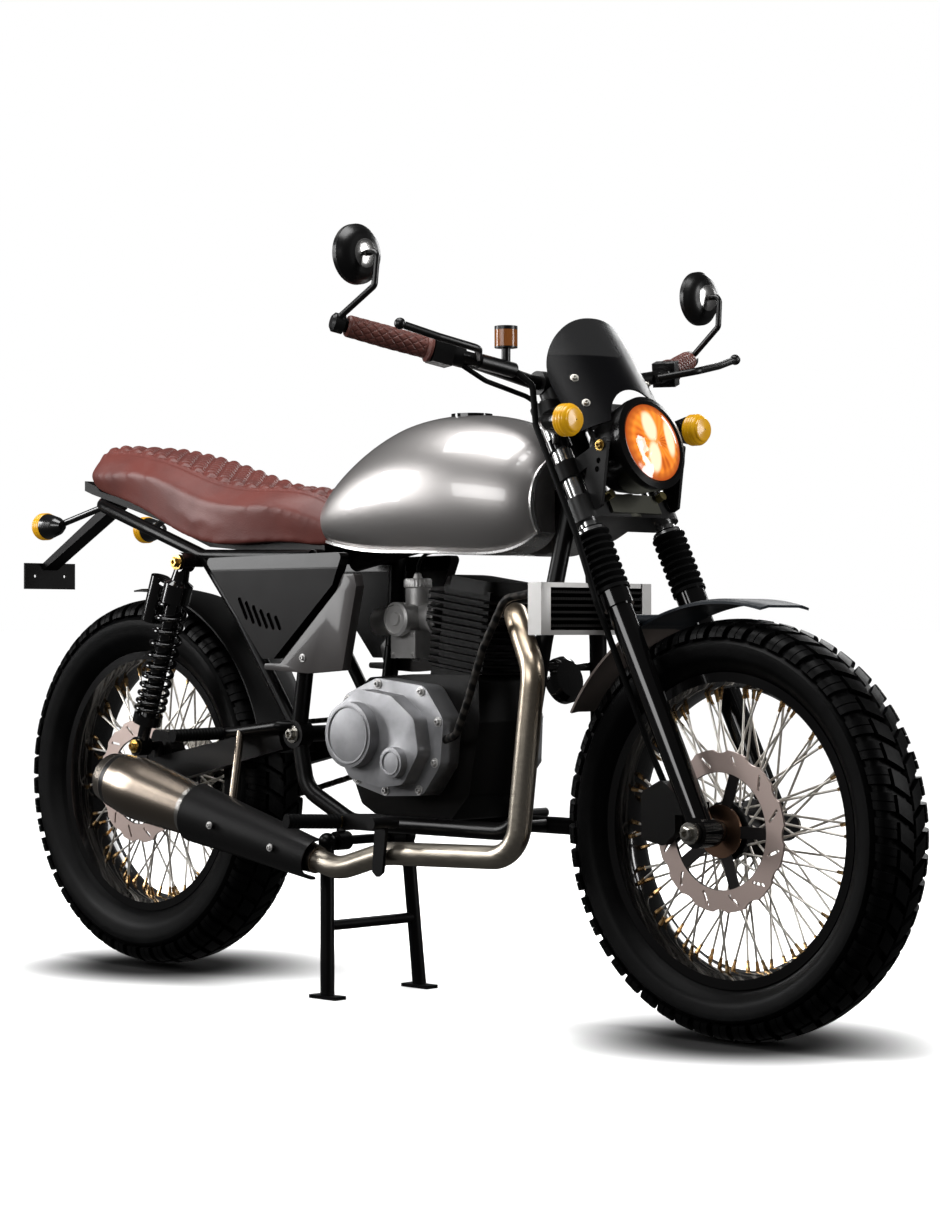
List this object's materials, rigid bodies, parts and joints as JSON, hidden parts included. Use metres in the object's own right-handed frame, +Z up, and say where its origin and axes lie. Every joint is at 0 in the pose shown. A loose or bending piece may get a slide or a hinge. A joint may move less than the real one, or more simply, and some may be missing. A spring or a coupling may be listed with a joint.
{
  "type": "scrambler motorcycle",
  "caption": "Upright scrambler motorcycle on its centre stand: wire wheels, finned engine, twin rear shocks, teardrop tank, quilted seat, high bars and a short upswept muffler.",
  "frame": {"origin": "on the floor below the middle of the overall length, in the machine's middle plane", "axes": "+X forward, +Y to the rider's left, +Z up"},
  "size_m": [2.036, 0.8958, 1.233],
  "materials": {
    "frame_black": "satin",
    "bar_black": "gloss",
    "bright_steel": "satin",
    "shock_black": "gloss",
    "spring_black": "satin",
    "engine_black": "matt",
    "cover_grey": "satin",
    "cast_alloy": "cast",
    "cooler_alloy": "satin",
    "exhaust_steel": "brushed",
    "muffler_steel": "brushed",
    "carbon_shield": "woven",
    "tank_grey": "gloss",
    "seam_silver": "bright",
    "gloss_black": "gloss",
    "seat_leather": "quilted",
    "cover_black": "satin",
    "trim_grey": "satin",
    "fender_black": "matt",
    "fender_blue": "gloss",
    "lamp_black": "gloss",
    "peg_rubber": "ribbed",
    "pedal_steel": "satin",
    "chain_steel": "oiled",
    "caliper_black": "satin",
    "fork_chrome": "polished",
    "slider_black": "satin",
    "boot_rubber": "ribbed",
    "lens_amber": "clear",
    "smoked_screen": "smoked",
    "grip_rubber": "ribbed",
    "control_black": "satin",
    "mirror_black": "gloss",
    "cable_rubber": "matt",
    "tyre_rubber": "block tread",
    "rim_black": "gloss",
    "spoke_steel": "bright",
    "disc_steel": "ground",
    "sprocket_steel": "satin"
  },
  "bodies": {
    "chassis": {"frame": "frame_black", "swingarm": "frame_black", "tail_bracket": "frame_black", "rear_axle": "bright_steel", "shocks": "shock_black", "shock_springs": "spring_black", "crankcase": "engine_black", "cylinder": "engine_black", "engine_covers": "cover_grey", "carburettor": "cast_alloy", "oil_cooler": "cooler_alloy", "exhaust_pipe": "exhaust_steel", "muffler": "muffler_steel", "heat_shield": "carbon_shield", "fuel_tank": "tank_grey", "tank_seam": "seam_silver", "filler_cap": "gloss_black", "seat": "seat_leather", "side_covers": "cover_black", "side_trims": "trim_grey", "rear_fender": "fender_black", "rear_lamps": "lamp_black", "foot_pegs": "peg_rubber", "foot_controls": "pedal_steel", "chain": "chain_steel", "rear_caliper": "caliper_black", "horn": "gloss_black"},
    "steering": {"yokes": "frame_black", "fork_tubes": "fork_chrome", "fork_sliders": "slider_black", "fork_boots": "boot_rubber", "front_axle": "bright_steel", "front_fender": "fender_blue", "headlamp": "gloss_black", "headlamp_lens": "lens_amber", "lamp_brackets": "frame_black", "flyscreen": "smoked_screen", "front_indicators": "lamp_black", "handlebar": "bar_black", "grips": "grip_rubber", "hand_controls": "control_black", "mirrors": "mirror_black", "instrument": "gloss_black", "front_caliper": "caliper_black", "control_cables": "cable_rubber"},
    "front_wheel": {"front_tyre": "tyre_rubber", "front_rim": "rim_black", "front_hub": "spoke_steel", "front_disc": "disc_steel"},
    "rear_wheel": {"rear_tyre": "tyre_rubber", "rear_rim": "rim_black", "rear_hub": "spoke_steel", "rear_disc": "disc_steel", "rear_sprocket": "sprocket_steel"},
    "centre_stand": {"centre_stand": "frame_black"}
  },
  "joints": [
    {"name": "steering", "type": "hinge", "parent": "chassis", "child": "steering", "pos_m": [0.39382, 0, 0.83595], "axis": [-0.4431, 0, 0.8965], "range_deg": [-35, 35]},
    {"name": "front_wheel_spin", "type": "hinge", "parent": "steering", "child": "front_wheel", "pos_m": [0.7, 0, 0.318], "axis": [0, 1, 0], "continuous": true},
    {"name": "rear_wheel_spin", "type": "hinge", "parent": "chassis", "child": "rear_wheel", "pos_m": [-0.668, 0, 0.342], "axis": [0, 1, 0], "continuous": true},
    {"name": "centre_stand_fold", "type": "hinge", "parent": "chassis", "child": "centre_stand", "pos_m": [-0.12, 0, 0.262], "axis": [0, 1, 0], "range_deg": [0, 82]}
  ]
}
